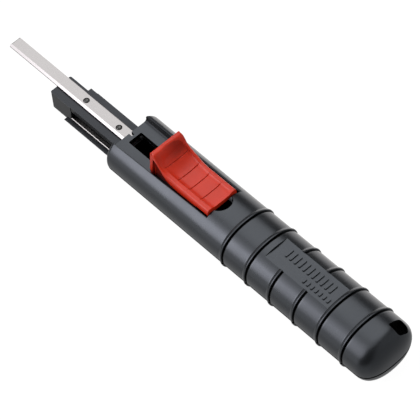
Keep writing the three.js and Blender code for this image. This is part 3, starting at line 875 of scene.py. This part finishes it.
def paint_inner_shadow(obj, top=ABOVE):
    """Paints shadow onto the faces inside the handle and below a height, so that they stay dark."""
    bm = bmesh.new()
    bm.from_mesh(obj.data)
    whole = bm.verts[:] + bm.edges[:] + bm.faces[:]
    bmesh.ops.bisect_plane(bm, geom=whole, dist=1e-7, plane_co=(0, INSIDE_Y * MM, 0), plane_no=(0, 1, 0))
    bm.to_mesh(obj.data)
    bm.free()
    centre, _ = face_data(obj.data)
    set_values(obj.data, "painted_shadow", (centre[:, 1] < INSIDE_Y) & (centre[:, 2] < top))


def paint_flank_shade(obj):
    """Paints shade onto the upright sides."""
    _, normal = face_data(obj.data)
    set_values(obj.data, "painted_shade", np.where(abs(normal[:, 2]) < 0.2, FLANK_SHADE, 0.0))


def build_carriage():
    """A plate over a narrower core, with a blunt nose block and a well behind the blade."""
    half, back, front = CARRIAGE.values()
    plate = block("slide_carriage_skin", (-half, back, AXIS_Z - 1.5), (half, front, CARRIAGE_TOP))
    core = block("core", (-CORE_HALF, back, AXIS_Z - 5.5), (CORE_HALF, front - 0.4, CARRIAGE_TOP - 0.5))
    left, right, back, front = NOSE.values()
    outline = rounded([(left, back, 0.05), (right, back, 0.05), (right, front), (left, front)], 0.7, 4)
    nose = prism("nose", outline, "z", AXIS_Z - 8.6, CARRIAGE_TOP)
    bevel(nose, 0.8, 1, 50)
    join(plate, core, nose)
    half, back, front = WELL["half"], WELL["back"], WELL["front"]
    cutters = [block("well", (-half, back, AXIS_Z - 4), (half, front, ABOVE))]
    for node in BLADE_RIVETS:
        cutters.append(prism("hole", circle(*middle(node), 1.4, 32), "z", span(node)[0][2] - 0.3, ABOVE))
    for node in BUTTON_SCREWS:
        cutters.append(prism("bore", circle(*middle(node), HEAD_BORE, 32), "z", 0, span(node)[0][2] + 1.9))
        cutters.append(prism("pilot", circle(*middle(node), PILOT_BORE, 24), "z", 0, ABOVE))
    cutters.append(turned("rod_seat", [(1.8, -12), (1.8, -3.5)], ROD_CENTRE, "y", 24))
    cut(plate, *cutters)
    bevel(plate, 0.15, 1, 50)
    paint_inner_shadow(plate, CARRIAGE_TOP - 0.6)
    paint_flank_shade(plate)
    finish_piece(plate, "slide", "carriage_plastic", DARK, "slide_carriage", angle=10)


def build_blade():
    """A flat bar with a wide chamfer on the left, a small one on the right and a bevelled tip."""
    (_, back, low), (half, tip, high) = BLADE_LOW, BLADE_HIGH
    width, depth, small = BLADE_CHAMFER.values()
    section = [(-half, low), (half, low), (half, high - small), (half - small, high), (width - half, high),
               (-half, high - depth)]
    blade = prism("steel_blade_skin", section, "y", back, tip)
    wedge = [(tip - 0.5, high + 0.01), (tip + 1, high + 0.01), (tip + 1, low + 0.2)]
    holes = [prism("hole", circle(*middle(node), 1.38, 40), "z", 0, ABOVE) for node in BLADE_RIVETS]
    cut(blade, prism("tip", wedge, "x", -5, 5), *holes)
    finish_piece(blade, "slide", "blade_steel", STEEL, "steel_blade", angle=10)


def build_blade_rivets():
    """Round rivets with a dished head."""
    for node in BLADE_RIVETS:
        low, high = span(node)
        a, b = low[2], high[2]
        profile = [(0.6, a), (1.08, a + 0.2), (1.1, b - 0.32), (1.08, b - 0.2), (0.98, b - 0.06),
                   (0.8, b + 0.02), (0.6, b - 0.02), (0.45, b - 0.1), (0.3, b - 0.14), (0.01, b - 0.15)]
        rivet = turned(node + "_head", profile, (0, middle(node)[1], 0))
        finish_piece(rivet, "slide", "zinc_steel", ZINC, node)


# ---- guide arm ----------------------------------------------------------------------------

TROUGH = {"half": 7.1, "floor": 3.6, "end": 68.2}


def build_arm():
    """A trough with an open front end and two pockets for its rivets."""
    arm = prism("guide_arm_skin", arm_outline(0, ARM_HIGH[2]), "y", ARM_LOW[1], ARM_HIGH[1])
    half, front = TROUGH["half"], ARM_HIGH[1] + 5
    cutters = [block("trough", (-half, ARM_LOW[1] - 2, TROUGH["floor"]), (half, front, ABOVE)),
               block("open_end", (-half, TROUGH["end"], BELOW), (half, front, ABOVE))]
    for node in ARM_RIVETS:
        head = span(node)[0][2] + 0.9
        cutters.append(prism("bore", circle(*middle(node), RIVET_BORE, 32), "z", BELOW, head))
        cutters.append(prism("pilot", circle(*middle(node), 1.2, 24), "z", BELOW, 10))
    cut(arm, *cutters)
    bevel(arm, 0.25, 1, 50)
    paint_flank_shade(arm)
    finish_piece(arm, "handle", "carriage_plastic", DARK, "guide_arm", angle=25)


def build_liner():
    """A thin steel channel with its upper edges chamfered on the outside."""
    (x0, y0, z0), (x1, y1, z1) = LINER_LOW, LINER_HIGH
    wall, chamfer = 0.5, 0.22
    section = [(x0, z1 - chamfer), (x0, z0), (x1, z0), (x1, z1 - chamfer), (x1 - chamfer, z1),
               (x1 - wall, z1), (x1 - wall, z0 + wall), (x0 + wall, z0 + wall), (x0 + wall, z1),
               (x0 + chamfer, z1)]
    liner = prism("guide_liner_skin", section, "y", y0, y1)
    cut(liner, *[prism("hole", circle(*middle(node), 1.2, 24), "z", 0, 10) for node in ARM_RIVETS])
    bevel(liner, 0.03, 1, 50)
    paint_inner_shadow(liner)
    finish_piece(liner, "handle", "blade_steel", LINER_STEEL, "guide_liner", angle=10)


def build_arm_rivets():
    """Rivets with a domed head below and a formed head inside the liner."""
    for node in ARM_RIVETS:
        low, high = span(node)
        a, b = low[2], high[2]
        profile = [(0.3, a), (1.2, a + 0.03), (1.6, a + 0.2), (1.7, a + 0.4), (0.9, a + 0.42),
                   (0.9, b - 0.42), (1.7, b - 0.4), (1.6, b - 0.2), (1.2, b - 0.04), (0.3, b)]
        rivet = turned(node + "_formed", profile, (0, middle(node)[1], 0))
        paint_inner_shadow(rivet)
        finish_piece(rivet, "handle", "zinc_steel", ZINC, node)


# ---- screws, rod and spring ---------------------------------------------------------------

THREAD_PITCH = 0.45
ROD_HOLE = 1.75                   # radius of the holes that the rod runs through


def build_screw(node, body):
    """A pan-head screw, head down, with a cross recess and a threaded shank."""
    low, high = span(node)
    x, y = middle(node)
    a, b = low[2], high[2]
    profile = [(0.2, a), (1.5, a + 0.08), (1.95, a + 0.35), (2.18, a + 0.8), (2.2, a + 1.5), (1.0, a + 1.5)]
    for i in range(int((b - a - 2.2) / THREAD_PITCH)):
        z = a + 1.7 + THREAD_PITCH * i
        profile += [(0.86, z), (1.1, z + 0.2), (0.86, z + 0.42)]
    profile += [(0.8, b - 0.3), (0.3, b)]
    screw = turned(node + "_thread", profile, (x, y, 0), steps=28)
    for u, v in ((1.3, 0.24), (0.24, 1.3)):
        cut(screw, block("cross", (x - u, y - v, a - 1), (x + u, y + v, a + 0.9)))
    finish_piece(screw, body, "zinc_steel", ZINC, node)


def cut_rod_hole(obj, back, front):
    cut(obj, turned("hole", [(ROD_HOLE, back - 1), (ROD_HOLE, front + 1)], ROD_CENTRE, "y"))


def build_rod():
    back, front = ends("guide_rod")
    profile = [(1.2, back), (1.5, back + 0.4), (1.5, front - 0.3), (1.2, front)]
    rod = turned("guide_rod_ground", profile, ROD_CENTRE, "y")
    finish_piece(rod, "slide", "blade_steel", STEEL, "guide_rod")


def build_washer():
    back, front = ends("spring_washer")
    profile = [(1.8, back), (3.9, back), (4.0, back + 0.15), (4.0, front - 0.15), (3.9, front), (1.8, front)]
    washer = turned("spring_washer_turned", profile, ROD_CENTRE, "y")
    cut_rod_hole(washer, back, front)
    finish_piece(washer, "slide", "zinc_steel", ZINC, "spring_washer")


def build_nut():
    back, front = ends("rod_nut")
    nut = prism("rod_nut_hex", circle(0, ROD_Z, 3.3, 6), "y", back, front)
    cut_rod_hole(nut, back, front)
    bevel(nut, 0.25, 2, 30)
    finish_piece(nut, "slide", "zinc_steel", ZINC, "rod_nut")


def build_bumper():
    """A rubber ring with two waists."""
    back, front = ends("stop_bumper")
    profile = [(1.8, back), (3.4, back), (3.8, back + 0.6), (3.5, back + 1.6), (3.8, back + 2.7),
               (3.5, front - 1.6), (3.8, front - 0.6), (3.4, front), (1.8, front)]
    bumper = turned("stop_bumper_ribbed", profile, ROD_CENTRE, "y")
    cut_rod_hole(bumper, back, front)
    finish_piece(bumper, "handle", "bumper_rubber", RUBBER, "stop_bumper")


def build_spring():
    """A coil with closer end turns, as a swept tube."""
    back, front = ends("return_spring")
    wire, radius, turns, around = 0.4, 2.9, 14, 10
    length = front - back
    steps = turns * 24
    sections = []
    for i in range(steps + 1):
        t = i / steps
        angle = 2 * math.pi * turns * t
        y = back + wire + (length - 2 * wire) * (t * t * (3 - 2 * t) * 0.25 + t * 0.75)
        radial = np.array([math.cos(angle), 0, math.sin(angle)])
        centre = np.array([0, y, ROD_Z]) + radial * radius
        ring = []
        for k in range(around):
            a = 2 * math.pi * k / around
            ring.append(centre + radial * math.cos(a) * wire + np.array([0, math.sin(a) * wire, 0]))
        sections.append(ring)
    spring = loft("return_spring_coil", sections)
    finish_piece(spring, "handle", "spring_steel", SPRING_STEEL, "return_spring", angle=60)
    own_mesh(spring)


# ---- studio -------------------------------------------------------------------------------

LENS, SENSOR = 280.1, 36.0                           # millimetres
VIEW_BACK = Vector((-0.35699, -0.46617, 0.80947))    # from the tool to the camera
VIEW_RIGHT = Vector((0.72998, -0.67991, -0.06962))
VIEW_AIM = Vector((-1.03, -8.3, 11.0)) * MM
VIEW_DISTANCE = 1.2798                               # metres, like every length below

FLOOR_HALF = 3.0
FLOOR_Z = -0.0001                                    # just under the handle's flat
MOUTH_PLACE = Vector((0, 0.015, 0.02))
BUTTON_PLACE = Vector((0, 0.01, 0.03))
FROM_LEFT = Vector((-0.77, 0.466, 0.44))
FROM_NEAR = Vector((0.5, -0.8, 0.33))

ROOM = (0.07, 0.07, 0.07)
LOBES = [   # direction, cosine where it starts, cosine where it is full, radiance
    ((0, 0, -1), -0.05, 0.35, (0.52, 0.52, 0.52)),                 # the pale table
    ((0.45, -0.75, 0.45), 0.6, 0.88, (0.4, 0.4, 0.4)),             # a grey wall behind the camera
    ((0.4, -0.9, -0.15), 0.35, 0.9, (0.36, 0.36, 0.36)),           # the table's near side, in shade
    ((-0.884, 0.466, -0.04), 0.93, 0.985, (0.9, 0.9, 0.9)),        # the table's far edge, on the left
    ((0.8, 0.47, -0.37), 0.8, 0.93, (1.38, 1.34, 1.32)),           # a bright sweep on the right
    ((0, 0.466, 0.885), 0.75, 0.85, (1.0, 1.0, 1.0)),              # the ceiling
    ((0.303, 0.466, 0.832), 0.885, 0.94, (1.8, 1.8, 1.8)),         # a softbox overhead
    ((-0.68, 0.466, 0.57), 0.86, 0.97, (2.2, 2.15, 2.2)),          # a softbox on the left
]


def place_object(name, data):
    obj = bpy.data.objects.new(name, data)
    bpy.context.scene.collection.objects.link(obj)
    return obj


def build_camera():
    camera = place_object("camera", bpy.data.cameras.new("camera"))
    camera.data.lens = LENS
    camera.data.sensor_width = SENSOR
    camera.data.clip_start = 0.05
    camera.data.clip_end = 20
    back = VIEW_BACK.normalized()
    right = (VIEW_RIGHT - back * VIEW_RIGHT.dot(back)).normalized()
    turn = Matrix((right, back.cross(right), back)).transposed()
    camera.matrix_world = Matrix.Translation(VIEW_AIM + back * VIEW_DISTANCE) @ turn.to_4x4()
    bpy.context.scene.camera = camera


def floor_material():
    """A pale glow with a little diffuse paper over it, which takes faint shadows."""
    material = bpy.data.materials.new("floor")
    material.use_nodes = True
    tree = material.node_tree
    tree.nodes.clear()
    out = tree.nodes.new("ShaderNodeOutputMaterial")
    add = tree.nodes.new("ShaderNodeAddShader")
    glow = tree.nodes.new("ShaderNodeEmission")
    glow.inputs["Strength"].default_value = 0.96
    paper = tree.nodes.new("ShaderNodeBsdfDiffuse")
    paper.inputs["Color"].default_value = (0.12, 0.12, 0.12, 1)
    tree.links.new(glow.outputs[0], add.inputs[0])
    tree.links.new(paper.outputs[0], add.inputs[1])
    tree.links.new(add.outputs[0], out.inputs["Surface"])
    return material


def build_floor():
    mesh = bpy.data.meshes.new("floor")
    corners = [(x * FLOOR_HALF, y * FLOOR_HALF, FLOOR_Z) for x, y in ((-1, -1), (1, -1), (1, 1), (-1, 1))]
    mesh.from_pydata(corners, [], [(0, 1, 2, 3)])
    mesh.materials.append(floor_material())
    floor = place_object("floor", mesh)
    floor.visible_glossy = False
    floor.visible_diffuse = False


def area_light(name, place, aim, size, power, color=(1, 1, 1)):
    """A rectangular lamp that faces its aim."""
    light = bpy.data.lights.new(name, "AREA")
    light.shape = "RECTANGLE"
    light.size, light.size_y = size
    light.energy = power
    light.color = color
    obj = place_object(name, light)
    obj.location = place
    obj.rotation_euler = (aim - place).to_track_quat("-Z", "Y").to_euler()
    return obj


def build_lights():
    panel = MOUTH_PLACE + FROM_LEFT.normalized() * 0.35
    area_light("front_panel", panel, MOUTH_PLACE, (0.14, 0.26), 0.28, (1.0, 0.98, 1.03))
    fill = area_light("near_fill", BUTTON_PLACE + FROM_NEAR * 0.4, BUTTON_PLACE, (0.2, 0.2), 0.28)
    fill.visible_glossy = False


def build_world():
    """A dark room with soft-edged lobes of light, each over the ones before it."""
    world = bpy.data.worlds.new("studio")
    bpy.context.scene.world = world
    world.use_nodes = True
    tree = world.node_tree
    where = tree.nodes.new("ShaderNodeTexCoord").outputs["Generated"]

    def lobe(direction, start, end):
        dot = tree.nodes.new("ShaderNodeVectorMath")
        dot.operation = "DOT_PRODUCT"
        dot.inputs[1].default_value = Vector(direction).normalized()
        tree.links.new(where, dot.inputs[0])
        ramp = tree.nodes.new("ShaderNodeMapRange")
        ramp.interpolation_type = "SMOOTHSTEP"
        ramp.inputs["From Min"].default_value = start
        ramp.inputs["From Max"].default_value = end
        tree.links.new(dot.outputs["Value"], ramp.inputs["Value"])
        return ramp.outputs["Result"]

    def blend(factor, base, color):
        mix = tree.nodes.new("ShaderNodeMix")
        mix.data_type = "RGBA"
        tree.links.new(factor, mix.inputs[0])
        if isinstance(base, tuple):
            mix.inputs[6].default_value = (*base, 1)
        else:
            tree.links.new(base, mix.inputs[6])
        mix.inputs[7].default_value = (*color, 1)
        return mix.outputs[2]

    light = ROOM
    for direction, start, end, color in LOBES:
        light = blend(lobe(direction, start, end), light, color)
    tree.links.new(light, tree.nodes["Background"].inputs["Color"])


def set_view():
    view = bpy.context.scene.view_settings
    view.view_transform = "Standard"
    view.look = "None"
    view.exposure = 0
    view.gamma = 1


build_camera()
build_floor()
build_lights()
build_world()
set_view()
build_handle()
build_button()
build_carriage()
build_blade()
build_blade_rivets()
build_arm()
build_liner()
build_arm_rivets()
for screw in CASE_SCREWS:
    build_screw(screw, "handle")
for screw in BUTTON_SCREWS:
    build_screw(screw, "slide")
build_rod()
build_washer()
build_nut()
build_bumper()
build_spring()
